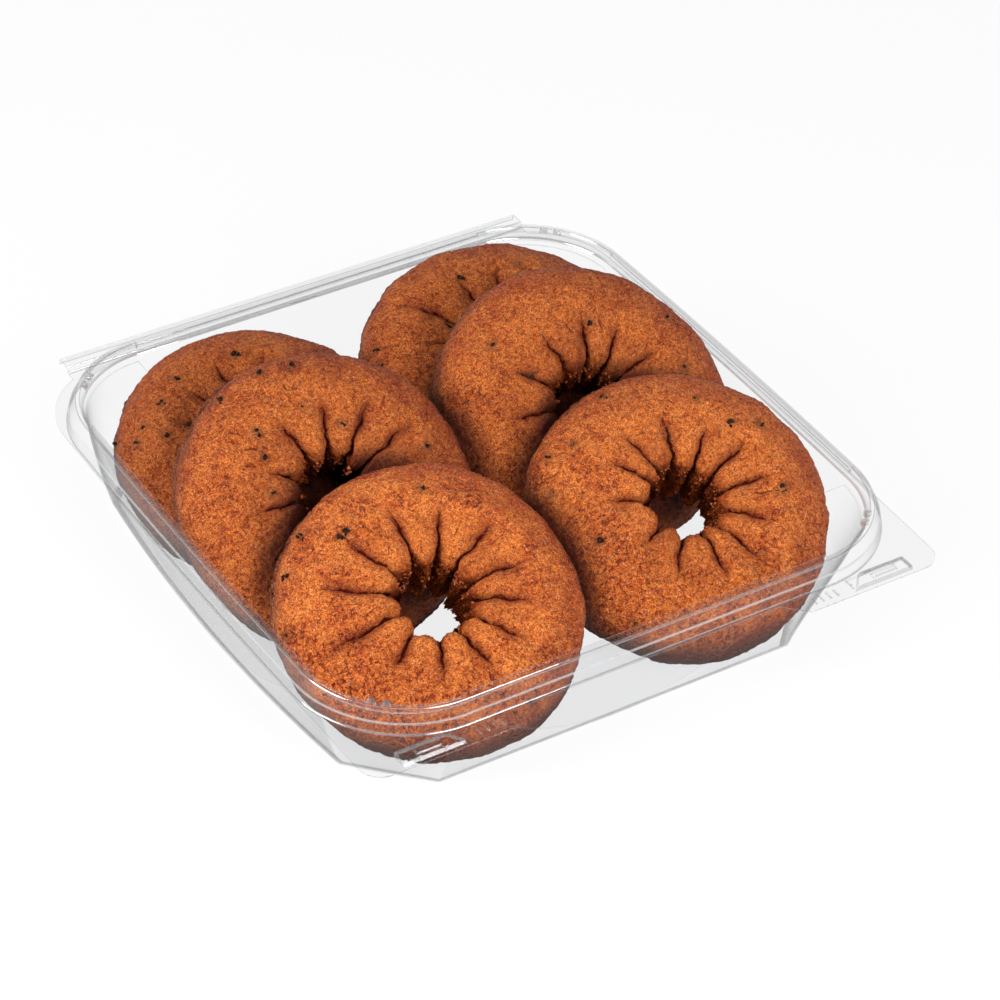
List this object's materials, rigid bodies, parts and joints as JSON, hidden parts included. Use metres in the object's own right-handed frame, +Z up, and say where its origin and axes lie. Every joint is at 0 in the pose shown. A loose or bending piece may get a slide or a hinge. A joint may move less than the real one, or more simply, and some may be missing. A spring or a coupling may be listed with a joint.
{
  "type": "box of doughnuts",
  "caption": "Open clear plastic takeaway tray with snap tabs and a hinge strip, filled with pleated cake doughnuts that lean on one another.",
  "frame": {"origin": "centre of the tray's outline on the surface it stands on, at the underside of its floor", "axes": "+Z up out of the tray, +X along the front edge, -Y the opening side with the two snap tabs, +Y the hinge side"},
  "size_m": [0.1848, 0.1986, 0.0622],
  "materials": {
    "clear_tray": "clear glossy thermoformed sheet, thin and slightly grey at its edges",
    "crust": "dry orange-brown fried cake crust with fine sugary grain, darker in the creases and at the sides",
    "crumb": "dark ragged crumb in the holes",
    "fruit_bits": "near-black dried fruit specks baked into the crust"
  },
  "bodies": {
    "root": {"tray": "clear_tray", "doughnut_front_left": "crust", "doughnut_middle_left": "crust", "doughnut_back_left": "crust", "doughnut_front_right": "crust", "doughnut_middle_right": "crust", "doughnut_back_right": "crust"}
  },
  "joints": []
}
